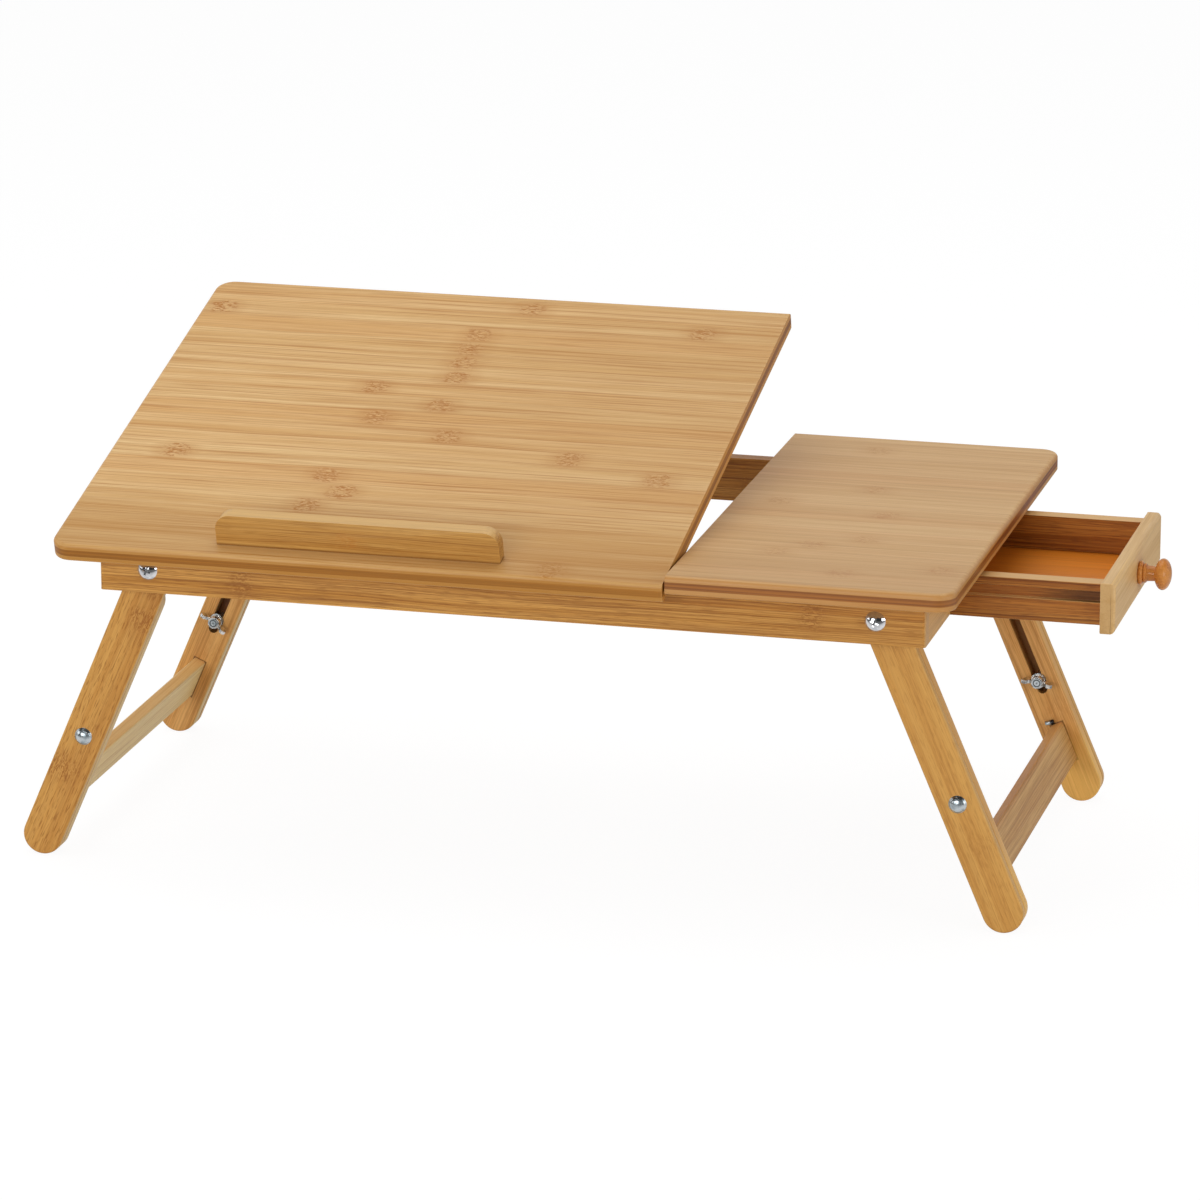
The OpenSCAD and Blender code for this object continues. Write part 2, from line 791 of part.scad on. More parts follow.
// Slotted plate that slides along the outer plate, with the sockets for its crossbar.
module slotted_leg(end, side) {
    slot_r = bolt_r + slot_gap;
    slot_low = bolt_d + slot_end;
    slot_high = bolt_d - slide_max - slot_spare;
    piece(cane) at_leg(end, side) difference() {
        leg_plate(plate_top_d, foot_d, leg_in, leg_mid - slip_gap);
        for (d = [slot_high, slot_low])
            translate([0, 0, -d]) y_rod(slot_r, leg_in - cut, leg_mid + cut);
        block([-slot_r, leg_in - cut, -slot_low], [slot_r, leg_mid + cut, -slot_high]);
        bar_dowels(pin_gap);
    }
}

module left_slotted_leg_front() slotted_leg(-1, -1);

module left_slotted_leg_rear() slotted_leg(-1, 1);

module right_slotted_leg_front() slotted_leg(1, -1);

module right_slotted_leg_rear() slotted_leg(1, 1);

// Dowels between a slotted plate and its crossbar, in the leg's frame.
module bar_dowels(room = 0) {
    for (d = [bar_d - bar_w / 4, bar_d + bar_w / 4]) translate([0, 0, -d])
        y_rod(dowel_r + room, leg_in + dowel_in - dowel_l - room, leg_in + dowel_in + room);
}

module crossbar(end) {
    piece(honey) difference() {
        at_leg(end, 1) translate([-bar_t / 2, 0, -bar_d - bar_w / 2])
            upright(-leg_in, leg_in) round_rect(bar_t, bar_w, leg_r);
        for (side = [-1, 1]) at_leg(end, side) bar_dowels(pin_gap);
    }
}

module left_crossbar() crossbar(-1);

module right_crossbar() crossbar(1);

module crossbar_dowels(end) piece(pale_cane) for (side = [-1, 1]) at_leg(end, side) bar_dowels();

module left_crossbar_dowels() crossbar_dowels(-1);

module right_crossbar_dowels() crossbar_dowels(1);

// ---------- height clamps ----------

washer_face = leg_in - slip_gap;
wing_face = washer_face - washer_t - slip_gap;

// Both of one end's clamps, from the bolt's axis.
module at_clamp(end, side) at_leg(end, side) translate([0, 0, -bolt_d]) children();

module carriage_bolts(end) {
    piece(zinc) for (side = [-1, 1]) at_clamp(end, side) {
        translate([0, leg_out, 0]) dome(carriage_head_r, carriage_head_h);
        y_rod(bolt_r, wing_face - wing_boss_h - bolt_out, leg_out);
    }
}

module left_carriage_bolts() carriage_bolts(-1);

module right_carriage_bolts() carriage_bolts(1);

module washers(end) {
    piece(zinc) for (side = [-1, 1]) at_clamp(end, side) difference() {
        y_rod(washer_r, washer_face - washer_t, washer_face);
        y_rod(bore_r, washer_face - washer_t - cut, washer_face + cut);
    }
}

module left_washers() washers(-1);

module right_washers() washers(1);

// Wing nut along +Z, its flat base at the origin.
module wing_nut() {
    tip_r = 2.1;
    base_r = 4.5;
    base_h = 1.6;
    boss_r = 3.8;
    boss_foot_r = 4.2;
    wing_in = bolt_r + 0.5;                 // the wings' roots lie inside the boss
    wing_low = 1;                           // and this far below its top
    tip_x = wing_span / 2 - tip_r;
    tip_z = wing_boss_h + 1;
    difference() {
        union() {
            cylinder(r = base_r, h = base_h);
            cylinder(r1 = boss_foot_r, r2 = boss_r, h = wing_boss_h);
            for (way = [0, 1]) mirror([way, 0, 0]) rotate([90, 0, 0])
                linear_extrude(wing_t, center = true) {
                    translate([tip_x, tip_z]) circle(tip_r);
                    polygon([[wing_in, base_h / 2], [tip_x, base_h],
                        [tip_x + tip_r, tip_z], [tip_x, tip_z + tip_r],
                        [boss_r, wing_boss_h - wing_low], [wing_in, wing_boss_h - wing_low]]);
                }
        }
        translate([0, 0, -cut]) cylinder(r = bore_r, h = wing_boss_h + 2 * cut);
    }
}

module placed_wing_nut(end, side) {
    turn = end < 0 ? wing_turn_left : wing_turn_right;
    piece(steel) at_clamp(end, side) translate([0, wing_face, 0]) rotate([90, 0, 0])
        rotate([0, 0, -turn]) wing_nut();
}

module wing_nut_front_left() placed_wing_nut(-1, -1);

module wing_nut_rear_left() placed_wing_nut(-1, 1);

module wing_nut_front_right() placed_wing_nut(1, -1);

module wing_nut_rear_right() placed_wing_nut(1, 1);

// ---------- drawer ----------

// Room for the bottom board in the grooves of the boards round it.
module bottom_board(room = 0) {
    x0 = drawer_back_x + drawer_back_t - bottom_groove;
    half = drawer_w / 2 - drawer_t + bottom_groove;
    block([x0 - room, -half - room, floor_z - room],
        [face_back + bottom_groove + room, half + room, floor_z + bottom_t + room]);
}

module drawer_side(side) {
    piece(pale_cane) difference() {
        on_side(side) difference() {
            block([drawer_back_x, drawer_w / 2 - drawer_t, drawer_bottom_z],
                [face_back, drawer_w / 2, drawer_top]);
            block([drawer_back_x - cut, drawer_w / 2 - groove_depth, groove_top - groove_h],
                [face_back + cut, drawer_w / 2 + cut, groove_top]);
        }
        bottom_board(slip_gap);
    }
}

module drawer_side_front() drawer_side(-1);

module drawer_side_rear() drawer_side(1);

module drawer_back() {
    half = drawer_w / 2 - drawer_t;
    piece(pale_cane) difference() {
        block([drawer_back_x, -half, drawer_bottom_z],
            [drawer_back_x + drawer_back_t, half, drawer_top]);
        bottom_board(slip_gap);
    }
}

module drawer_bottom() piece(honey) bottom_board();

// Face board, its front edges rounded.
module drawer_face() {
    piece(pale_cane) difference() {
        translate([face_back, -face_w / 2, face_top - face_h]) difference() {
            cube([face_t, face_w, face_h]);
            for (low = [0, 1]) translate([face_t, face_w + cut, low ? 0 : face_h])
                mirror([0, 0, low]) rotate([90, 0, 0]) linear_extrude(face_w + 2 * cut)
                    mirror([1, 0]) mirror([0, 1]) corner_cut(face_r);
            for (far = [0, 1]) translate([face_t, far ? face_w : 0, -cut])
                mirror([0, far, 0]) linear_extrude(face_h + 2 * cut)
                    mirror([1, 0]) corner_cut(face_r);
        }
        bottom_board(slip_gap);
        translate([0, 0, face_mid]) x_rod(screw_r + screw_room, face_back - cut, right_end);
    }
}

// Outline of the knob along its axis: two beads and a waist below a flattened ball.
module knob_outline() {
    inner_bead_r = bead_r * 0.75;
    inner_bead_x = bead_r * 2.7;
    step_r = knob_foot_r - bead_step;
    ball_half = knob_l * 0.26;
    ball_mid = knob_l - ball_half;
    neck_end = ball_mid - ball_half / 2;
    neck_flare = 0.5;
    steps = 24;
    ball = [for (i = [0:steps]) let (a = i * 180 / steps)
        [knob_r * sin(a), ball_mid - ball_half * cos(a)]];
    square([knob_foot_r - bead_r, 2 * bead_r]);
    translate([knob_foot_r - bead_r, bead_r]) circle(bead_r);
    translate([0, 2 * bead_r]) square([step_r, 2 * bead_r]);
    translate([step_r, inner_bead_x]) circle(inner_bead_r);
    polygon([[0, 3 * bead_r], [knob_neck_r + neck_flare, 3 * bead_r], [knob_neck_r, neck_end],
        [0, neck_end]]);
    polygon(ball);
}

module drawer_knob() {
    piece(honey) translate([face_back + face_t, 0, face_mid]) rotate([0, 90, 0]) difference() {
        rotate_extrude() knob_outline();
        translate([0, 0, -cut]) cylinder(r = screw_r + screw_room, h = knob_l / 2 + cut);
    }
}

// Screw from inside the drawer through the face board into the knob.
module knob_screw() {
    head_h = 1.8;
    head_r = screw_head_r * 1.4;
    tip_room = 0.5;
    piece(zinc) translate([0, 0, face_mid]) {
        x_rod(screw_r, face_back, face_back + face_t + knob_l / 2 - tip_room);
        x_rod(head_r, face_back - head_h, face_back);
    }
}

fixed_top();
tilt_top();
front_rail();
rear_rail();
left_end_board();
right_end_board_front();
right_end_board_rear();
centre_stretcher();
notched_strips();
drawer_stop_rail();
drawer_guides();
drawer_runners();
frame_dowels();
pivot_bolts();
pivot_spacers();
lock_nuts();
hinge_lower_leaves();
hinge_pins();
hinge_lower_screws();
hinge_upper_leaves();
hinge_upper_screws();
book_ledge();
ledge_screws();
prop_blocks();
prop_block_screws();
prop_side_bars();
prop_pivot_dowel();
prop_foot_dowel();
left_leg_front();
left_leg_rear();
left_carriage_bolts();
left_washers();
right_leg_front();
right_leg_rear();
right_carriage_bolts();
right_washers();
left_slotted_leg_front();
left_slotted_leg_rear();
left_crossbar();
left_crossbar_dowels();
right_slotted_leg_front();
right_slotted_leg_rear();
right_crossbar();
right_crossbar_dowels();
wing_nut_front_left();
wing_nut_rear_left();
wing_nut_front_right();
wing_nut_rear_right();
drawer_side_front();
drawer_side_rear();
drawer_back();
drawer_bottom();
drawer_face();
drawer_knob();
knob_screw();
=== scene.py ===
import math

import bmesh
import bpy
from mathutils import Matrix, Vector


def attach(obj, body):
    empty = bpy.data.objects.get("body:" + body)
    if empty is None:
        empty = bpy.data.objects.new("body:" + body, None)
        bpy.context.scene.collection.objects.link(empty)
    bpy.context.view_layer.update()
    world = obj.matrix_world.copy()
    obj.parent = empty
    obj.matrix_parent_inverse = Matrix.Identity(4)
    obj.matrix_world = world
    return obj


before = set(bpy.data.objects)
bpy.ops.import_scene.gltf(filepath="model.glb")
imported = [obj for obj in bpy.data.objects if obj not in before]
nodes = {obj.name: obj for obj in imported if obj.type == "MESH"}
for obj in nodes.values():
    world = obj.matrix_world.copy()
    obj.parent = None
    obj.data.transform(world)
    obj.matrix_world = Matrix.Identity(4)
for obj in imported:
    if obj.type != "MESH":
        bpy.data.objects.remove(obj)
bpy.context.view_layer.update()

# ---------------------------------------------------------------- places, as in part.scad

MM = 0.001
ENDS = ("left", "right")
OUTWARD = {"left": -1, "right": 1}       # the way in x that the feet of each pair of legs point
TILT = math.radians(14.4)                # the tilting panel, from level
SPLAY = math.radians(23.2)               # the legs, from upright
PROP_SLOPE = math.radians(38.4)          # the prop's side bars, from level
PANEL_Z = 203.893                        # underside of both panels, in mm
HINGE = Vector((0, -153.5, PANEL_Z)) * MM
PIVOT_X = {"left": -253.496 * MM, "right": 192.546 * MM}
PIVOT_Z = 189.893 * MM
CLAMP_AT = 122 * MM                      # the carriage bolt, along the leg from its pivot
CLAMPS = [(PIVOT_X[end] + OUTWARD[end] * CLAMP_AT * math.sin(SPLAY),
           PIVOT_Z - CLAMP_AT * math.cos(SPLAY)) for end in ENDS]
SLOTTED_IN = 123.6 * MM                  # |y| of the slotted plates' inner face
PLATES_MEET = 133.1 * MM                 # |y| where slotted and outer plates lie on each other
SLOT = (36.8 * MM, 131.2 * MM, 3.2 * MM)     # start and end along the leg, half width
SIDE_OUT = 77 * MM                       # |y| of the drawer sides' outer face
SIDE_GAP, GROOVE_DROP, GROOVE_H = 3.5, 5, 6.8    # panel to side, its top to groove, groove, mm
GROOVE_LOW = (PANEL_Z - SIDE_GAP - GROOVE_DROP - GROOVE_H) * MM
SAME = 1e-6                              # points closer than this are one point


# ---------------------------------------------------------------- node trees

class Tree:
    """A short way to write the node tree of a material or a world."""

    def __init__(self, owner, output="ShaderNodeOutputMaterial"):
        owner.use_nodes = True
        self.tree = owner.node_tree
        self.tree.nodes.clear()
        self.out = self.tree.nodes.new(output)

    def put(self, socket, value):
        """Link a socket or set its value. None leaves it as it is."""
        if isinstance(value, bpy.types.NodeSocket):
            self.tree.links.new(value, socket)
        elif value is not None:
            socket.default_value = value

    def add(self, kind, inputs=None, **props):
        """A new node, with its inputs by name or number."""
        n = self.tree.nodes.new(kind)
        for k, v in props.items():
            setattr(n, k, v)
        for k, v in (inputs or {}).items():
            self.put(n.inputs[k], v)
        return n

    def math(self, op, *values):
        return self.add("ShaderNodeMath", dict(enumerate(values)), operation=op).outputs[0]

    def mul(self, a, b):
        return self.math("MULTIPLY", a, b)

    def over(self, a, b):
        return self.math("DIVIDE", a, b)

    def plus(self, a, b):
        return self.math("ADD", a, b)

    def minus(self, a, b):
        return self.math("SUBTRACT", a, b)

    def mul_add(self, a, b, c):
        return self.math("MULTIPLY_ADD", a, b, c)

    def size(self, a):
        return self.math("ABSOLUTE", a)

    def away(self, a, b):
        """How far two numbers are apart."""
        return self.size(self.minus(a, b))

    def dot(self, a, b):
        return self.add("ShaderNodeVectorMath", {0: a, 1: b},
                        operation="DOT_PRODUCT").outputs["Value"]

    def step(self, value, lo, hi, to_lo=0.0, to_hi=1.0):
        """A smooth step from to_lo at lo to to_hi at hi. Either of lo and hi may be lower."""
        return self.add("ShaderNodeMapRange", dict(enumerate((value, lo, hi, to_lo, to_hi))),
                        interpolation_type="SMOOTHSTEP").outputs[0]

    def band(self, value, low, high, blur):
        """1 from low to high, and 0 further away from them than blur."""
        return self.mul(self.step(value, low - blur, low), self.step(value, high + blur, high))

    def mix(self, f, a, b):
        n = self.add("ShaderNodeMix", data_type="RGBA", clamp_factor=True)
        for socket, value in ((0, f), (6, colour(a)), (7, colour(b))):
            self.put(n.inputs[socket], value)
        return n.outputs[2]

    def noise(self, vector, scale=1.0, detail=2.0, rough=0.5, distort=0.0):
        return self.add("ShaderNodeTexNoise",
                        {"Vector": vector, "Scale": scale, "Detail": detail,
                         "Roughness": rough, "Distortion": distort}).outputs[0]

    def fibres(self, vector, along, across, **look):
        """Noise with one scale along the grain and another across it."""
        stretched = self.add("ShaderNodeVectorMath", {0: vector, 1: (along, across, across)},
                             operation="MULTIPLY").outputs[0]
        return self.noise(stretched, **look)

    def coords(self, kind):
        return self.add("ShaderNodeTexCoord").outputs[kind]

    def geometry(self, kind):
        return self.add("ShaderNodeNewGeometry").outputs[kind]

    def split(self, vector):
        return self.add("ShaderNodeSeparateXYZ", {"Vector": vector}).outputs

    def join(self, x, y, z):
        return self.add("ShaderNodeCombineXYZ", {"X": x, "Y": y, "Z": z}).outputs[0]

    def place(self, where):
        """Coordinates in a board's own frame: x along the grain, y across it, z through it."""
        turn = where.to_3x3().inverted()
        return self.add("ShaderNodeMapping",
                        {"Vector": self.coords("Object"), "Location": -(turn @ where.translation),
                         "Rotation": turn.to_euler("XYZ")}).outputs[0]

    def rays(self):
        """Rays from the camera, and rays that shiny or clear surfaces send on."""
        ray = self.add("ShaderNodeLightPath").outputs
        return ray["Is Camera Ray"], self.math("MAXIMUM", ray["Is Glossy Ray"],
                                               ray["Is Transmission Ray"])

    def bump(self, height, distance, strength):
        return self.add("ShaderNodeBump", {"Height": height, "Distance": distance,
                                           "Strength": strength}).outputs[0]

    def shader(self, paint, rough, normal=None, **fixed):
        n = self.add("ShaderNodeBsdfPrincipled",
                     {"Base Color": paint, "Roughness": rough, "Normal": normal})
        for k, v in fixed.items():
            n.inputs[k.replace("_", " ")].default_value = v
        self.put(self.out.inputs[0], n.outputs[0])


def colour(c):
    """An sRGB colour in 0 to 255 as a linear one, or a socket as it is."""
    if isinstance(c, bpy.types.NodeSocket):
        return c
    shares = [v / 255 for v in c]
    return (*(v / 12.92 if v <= 0.04045 else ((v + 0.055) / 1.055) ** 2.4 for v in shares), 1.0)


# ---------------------------------------------------------------- frames of the boards

def board(x_axis, y_axis, origin=(0, 0, 0)):
    """Frame of a board: x along its grain, y across it, both in the row frame."""
    x = Vector(x_axis).normalized()
    z = x.cross(Vector(y_axis)).normalized()
    y = z.cross(x)
    m = Matrix((x, y, z)).transposed().to_4x4()
    m.translation = Vector(origin)
    return m


def leg_board(end):
    """Frame of a leg's plates: x down the leg from its pivot."""
    way = OUTWARD[end]
    return board((way * math.sin(SPLAY), 0, -math.cos(SPLAY)),
                 (math.cos(SPLAY), 0, way * math.sin(SPLAY)), (PIVOT_X[end], 0, PIVOT_Z))


ALONG_X = board((1, 0, 0), (0, 1, 0))
ALONG_Y = board((0, 1, 0), (0, 0, 1))
UPRIGHT_X = board((1, 0, 0), (0, 0, 1))
TILT_PANEL = board((1, 0, 0), (0, math.cos(TILT), math.sin(TILT)), HINGE)
FIXED_PANEL = board((1, 0, 0), (0, 1, 0), (0, 0, PANEL_Z * MM))
LEDGE = board((1, 0, 0), (0, -math.sin(TILT), math.cos(TILT)), HINGE)
PROP = board((0, math.cos(PROP_SLOPE), -math.sin(PROP_SLOPE)), (1, 0, 0))


# ---------------------------------------------------------------- bamboo

# scales of the noises along the grain, across it and through the board, in 1/m
WANDER = (7.0, 45.0)
BROAD = (2.6, 130.0)
STREAK = (4.5, 600.0)
FINE = (15.0, 1500.0)
VEIN = (1.6, 210.0)
BUNDLE_ACROSS = 1150.0
MARK_BLUR = (120.0, 330.0)
MARK_WAVE = (300.0, 950.0)
PLY_LAYER = (5.0, 14.0, 950.0)

WANDER_BY = 4 * MM              # how far the grain strays from a straight line
SEAM = 0.4 * MM                 # glue line between two strips
WEAR_REACH = 1.1 * MM           # how far an edge's wear reaches
RELIEF = 0.12 * MM              # depth of the grain under the lacquer
LOOKS_ALONG = (0.5, 0.9)        # share of a face's normal along an axis, from none to full effect
JOINT_LINE = (1.1 * MM, 0.3 * MM)   # painted shade lines: how far they reach, and how far they are full
CONTACT_LINE = (1.0 * MM, 0.3 * MM)
GROOVE_DEEP = (4.2 * MM, 0.8 * MM)  # under the drawer side's outer face, from and to


def cane_nodes(t, col, at, q, along_by, knots, gap, size, marks, tint, pale):
    """The rippled marks of the cane's nodes, at the given places and once in each gap of a
    strip. Gives the new colour, and the ripples as a mask."""
    px, py, _ = at
    marked = []
    for kx, ky in knots:
        dx = t.over(t.minus(px, kx), size[0])
        dy = t.over(t.minus(py, ky), size[1])
        marked.append(t.plus(t.mul(dx, dx), t.math("POWER", t.size(dy), 4.0)))
    if gap:
        along = t.minus(t.math("FRACT", t.plus(t.over(px, gap), along_by)), 0.5)
        dx = t.over(t.mul(along, gap), size[0])
        marked.append(t.mul(dx, dx))
    if not marked:
        return col, None
    near = marked[0]
    for other in marked[1:]:
        near = t.math("MINIMUM", near, other)
    near = t.plus(near, t.mul_add(t.fibres(q, *MARK_BLUR), 1.8, -0.9))
    mask, wide = t.step(near, 1.1, 0.0), t.step(near, 3.6, 0.2)
    wavy = t.fibres(q, *MARK_WAVE, rough=0.6, distort=0.9)
    ripple = t.mul(t.step(wavy, 0.48, 0.57), mask)
    light = t.mul(t.step(wavy, 0.46, 0.36), mask)
    col = t.mix(t.mul(wide, 0.18 * marks), col, tint)
    col = t.mix(t.mul(ripple, min(0.80 * marks, 1.0)), col, tint)
    return t.mix(t.mul(light, 0.30 * marks), col, pale), ripple


def local_looks(t, col, at, y, where, faces=(), ply=None, joint=None, groove=None, contact=None,
                slot=None, shades=()):
    """What only some boards show, each in its place. In this order:
    faces    axis, amount and colour of the faces that look along that axis; a further lo and hi
             with lo > hi mean those that don't
    ply      z from and to, and the two colours of the layer there
    joint    painted shade in the gap round a bar that is let into the board: its middle, half its size in x, y
    groove   the runner's groove, y from and to, darker towards the face board, x from and to
    contact  painted shade in the seam where two plates lie on each other: |z| and amount
    slot     the adjusting slot and the wood behind it, out of the light: x from and to, half
             its width, |z| from and to
    shades   painted light and shade: axis, lo, hi, amount and colour that comes in along that axis"""
    px, py, pz = at
    for axis, amount, paint, *share in faces:
        facing = t.size(t.dot(t.coords("Normal"), where.col[axis].xyz))
        col = t.mix(t.step(facing, *(share or LOOKS_ALONG), 0.0, amount), col, paint)
    if ply:
        low, high, paint_1, paint_2 = ply
        half_blur = 0.2 * MM
        core = t.band(pz, low + half_blur, high - half_blur, 2 * half_blur)
        layer = t.join(*(t.mul(c, s) for c, s in zip((px, y, pz), PLY_LAYER)))
        inner = t.mix(t.step(t.noise(layer, detail=3.0, rough=0.6), 0.36, 0.66), paint_1, paint_2)
        col = t.mix(t.mul(core, 0.95), col, inner)
    if joint:
        middle, half_x, half_y = joint
        gap = t.math("MAXIMUM", t.minus(t.away(px, middle), half_x), t.minus(t.size(py), half_y))
        # painted shade: a dark line in the gap round the let-in bar
        col = t.mix(t.step(gap, *JOINT_LINE, 0.0, 0.75), col, (84, 46, 16))
    if groove:
        low, high, x0, x1 = groove
        hollow = t.mul(t.band(t.size(pz), *(SIDE_OUT - d for d in GROOVE_DEEP), 0.5 * MM),
                       t.band(py, low, high, 0.4 * MM))
        col = t.mix(t.mul(hollow, t.step(px, x0, x1, 0.0, 0.70)), col, (72, 38, 8))
    if contact:
        plane, amount = contact
        # painted shade: a dark line in the seam between the plates
        col = t.mix(t.step(t.away(t.size(pz), plane), *CONTACT_LINE, 0.0, amount), col,
                    (92, 52, 20))
    if slot:
        x0, x1, half, near, far = slot
        inside = t.mul(t.band(px, x0, x1, 1.0 * MM),
                       t.mul(t.step(t.size(py), half + 0.3 * MM, half + 0.1 * MM),
                             t.band(t.size(pz), near, far, 0.3 * MM)))
        col = t.mix(t.mul(inside, 0.5), col, (104, 54, 22))
    # painted light and shade, along an axis
    for axis, lo, hi, amount, paint in shades:
        col = t.mix(t.step(at[axis], lo, hi, 0.0, amount), col, paint)
    return col


def bamboo(name, where, pale, mid, deep, seed, strip=(0.019, 0.05), shift=0.0,
           tint=(182, 118, 48), tone=1.0, streaks=1.0, lines=0.6, dashes=0.10, grain=1.0,
           fleck=75.0, seams=0.3, knots=(), knot_gap=0.0, knot_size=(0.010, 0.0095), marks=1.0,
           rough=0.40, bump=1.0, worn_edge=0.20, **local):
    """Lacquered bamboo in strips of slightly different tone, of the given size across the grain
    and through the board, with long streaks, short fibre bundles and the marks of the cane's
    nodes. What is special to a place goes on to local_looks."""
    m = bpy.data.materials.new(name)
    t = Tree(m)
    p = t.place(where)
    px, py, pz = at = t.split(p)
    y = t.mul_add(t.fibres(p, *WANDER, detail=1.0), WANDER_BY, t.minus(py, WANDER_BY / 2))
    # strips
    u = t.over(t.plus(py, shift), strip[0])
    v = t.over(pz, strip[1])
    index = t.plus(t.mul_add(t.math("FLOOR", u), 3.17, seed), t.mul(t.math("FLOOR", v), 7.31))
    rnd = t.add("ShaderNodeTexWhiteNoise", {"W": index}, noise_dimensions="1D")
    r1 = rnd.outputs["Value"]
    r2, r3, _ = t.split(rnd.outputs["Color"])
    seam = t.step(t.away(t.math("FRACT", u), 0.5), 0.5 - SEAM / strip[0], 0.5)
    # streaks and fibres, which start afresh in each strip
    q = t.join(t.mul_add(r1, 9.0, px), t.mul_add(r2, 3.0, y), t.mul_add(r3, 2.0, pz))
    broad = t.fibres(q, BROAD[0], BROAD[1] * grain, detail=3.0, rough=0.55)
    streak = t.fibres(q, STREAK[0], STREAK[1] * grain, detail=3.0, rough=0.6)
    vein = t.fibres(q, VEIN[0], VEIN[1] * grain)
    fine = t.fibres(q, *FINE, rough=0.6)
    bundle = t.fibres(q, fleck, BUNDLE_ACROSS, detail=1.5, rough=0.6)
    line = t.mul(t.step(t.away(vein, 0.5), 0.020, 0.003), t.step(broad, 0.38, 0.60, 0.25, 1.0))
    darker = t.mul(t.plus(t.mul(r1, 0.40), t.step(broad, 0.34, 0.68, 0.0, 0.75)), tone)
    col = t.mix(darker, pale, mid)
    warm = (min(mid[0] + 6, 255), mid[1] - 10, mid[2] - 12)
    col = t.mix(t.step(r3, 0.45, 1.0, 0.0, 0.22), col, warm)
    for amount in (t.step(streak, 0.50, 0.68, 0.0, 0.55 * streaks), t.mul(line, lines),
                   t.step(fine, 0.40, 0.68, 0.0, 0.42 * streaks),
                   t.step(bundle, 0.52, 0.68, 0.0, dashes)):
        col = t.mix(amount, col, deep)
    if seams:
        col = t.mix(t.mul(seam, seams), col, deep)
    col, ripple = cane_nodes(t, col, at, q, r2, knots, knot_gap, knot_size, marks, tint, pale)
    col = local_looks(t, col, at, y, where, **local)
    # edges that hands have worn a little paler
    rounded = t.add("ShaderNodeBevel", {"Radius": WEAR_REACH}, samples=4).outputs[0]
    worn = t.mul(t.step(t.dot(rounded, t.geometry("True Normal")), 0.985, 0.90),
                 t.step(broad, 0.38, 0.62, 0.35, 1.0))
    col = t.mix(t.mul(worn, worn_edge), col, pale)
    # lacquer: satin, a little thinner over fibres and worn edges
    gloss = t.mul_add(worn, 0.10, t.mul_add(t.step(fine, 0.3, 0.8), 0.09, rough))
    height = t.minus(t.plus(t.mul(streak, 0.5), t.mul(fine, 0.5)), t.mul(seam, 0.5))
    if ripple is not None:
        height = t.minus(height, t.mul(ripple, 0.6))
    t.shader(col, gloss, t.bump(height, RELIEF * bump, 0.55), Coat_Weight=0.05,
             Coat_Roughness=0.20, IOR=1.42, Specular_IOR_Level=0.36)
    return m


TOP = dict(pale=(236, 200, 143), mid=(220, 176, 113), deep=(176, 112, 40), lines=0.5,
           tint=(180, 114, 42))
RAIL = dict(pale=(218, 164, 86), mid=(194, 136, 58), deep=(128, 72, 20), dashes=0.40,
            streaks=1.2, grain=1.5, lines=0.35, tint=(136, 78, 24))
LONG_RAIL = dict(strip=(0.0165, 0.012), shift=-0.1755, knot_size=(0.009, 0.011), **RAIL)
LEG = dict(pale=(213, 161, 84), mid=(195, 137, 62), deep=(140, 82, 25), grain=1.8,
           tint=(146, 84, 26))
DARK = dict(pale=(176, 124, 66), mid=(150, 98, 46), deep=(106, 62, 24))
PLY = (3.2 * MM, 7.4 * MM, (158, 92, 30), (104, 50, 10))     # the panels' darker core

# the marks that the photograph shows: x in mm and number of the 19 mm strip, or x and y in mm
tilt_knots = [(x * MM, (7 + 19 * k) * MM) for x, k in (
    (1, -1), (-166, 2), (-149, 3), (-164, 4), (-266, 5), (38, 5), (-22, 6), (-103, 7), (-154, 8),
    (-118, 9), (-166, 10), (-118, 11), (-119, 12), (-120, 13), (-119, 14), (22, 15), (-294, 15),
    (-94, 16))]
fixed_knots = [(x * MM, y * MM) for x, y in (
    (99, 9), (150, 47), (169, -10), (168, -67), (140, -86), (122, -105), (226, -124), (132, 142),
    (170, -143))]

# painted shade: the tilting panel darkens towards its right end and towards its front edge
tilt_wood = bamboo(
    "bamboo_tilt_panel", TILT_PANEL, seed=3.0, knots=tilt_knots, shift=0.0025, ply=PLY,
    marks=1.25, faces=[(2, 0.62, (180, 124, 54), 0.75, 0.25), (0, 0.6, (222, 160, 78))],
    shades=[(0, -0.28, 0.06, 0.26, (178, 128, 66)), (1, 0.07, -0.01, 0.45, (172, 116, 36))],
    **TOP)
# painted shade: the fixed panel darkens towards its near edge, where it shows less sheen
fixed_wood = bamboo(
    "bamboo_fixed_panel", FIXED_PANEL, seed=11.0, knots=fixed_knots, shift=0.0095, ply=PLY,
    pale=(222, 182, 124), mid=(208, 162, 102), deep=(164, 108, 48), streaks=0.45, lines=0.25,
    marks=0.65, worn_edge=0.06, faces=[(2, 0.65, (180, 120, 50), 0.97, 0.55)],
    shades=[(1, -0.07, -0.16, 0.18, (176, 126, 78))])
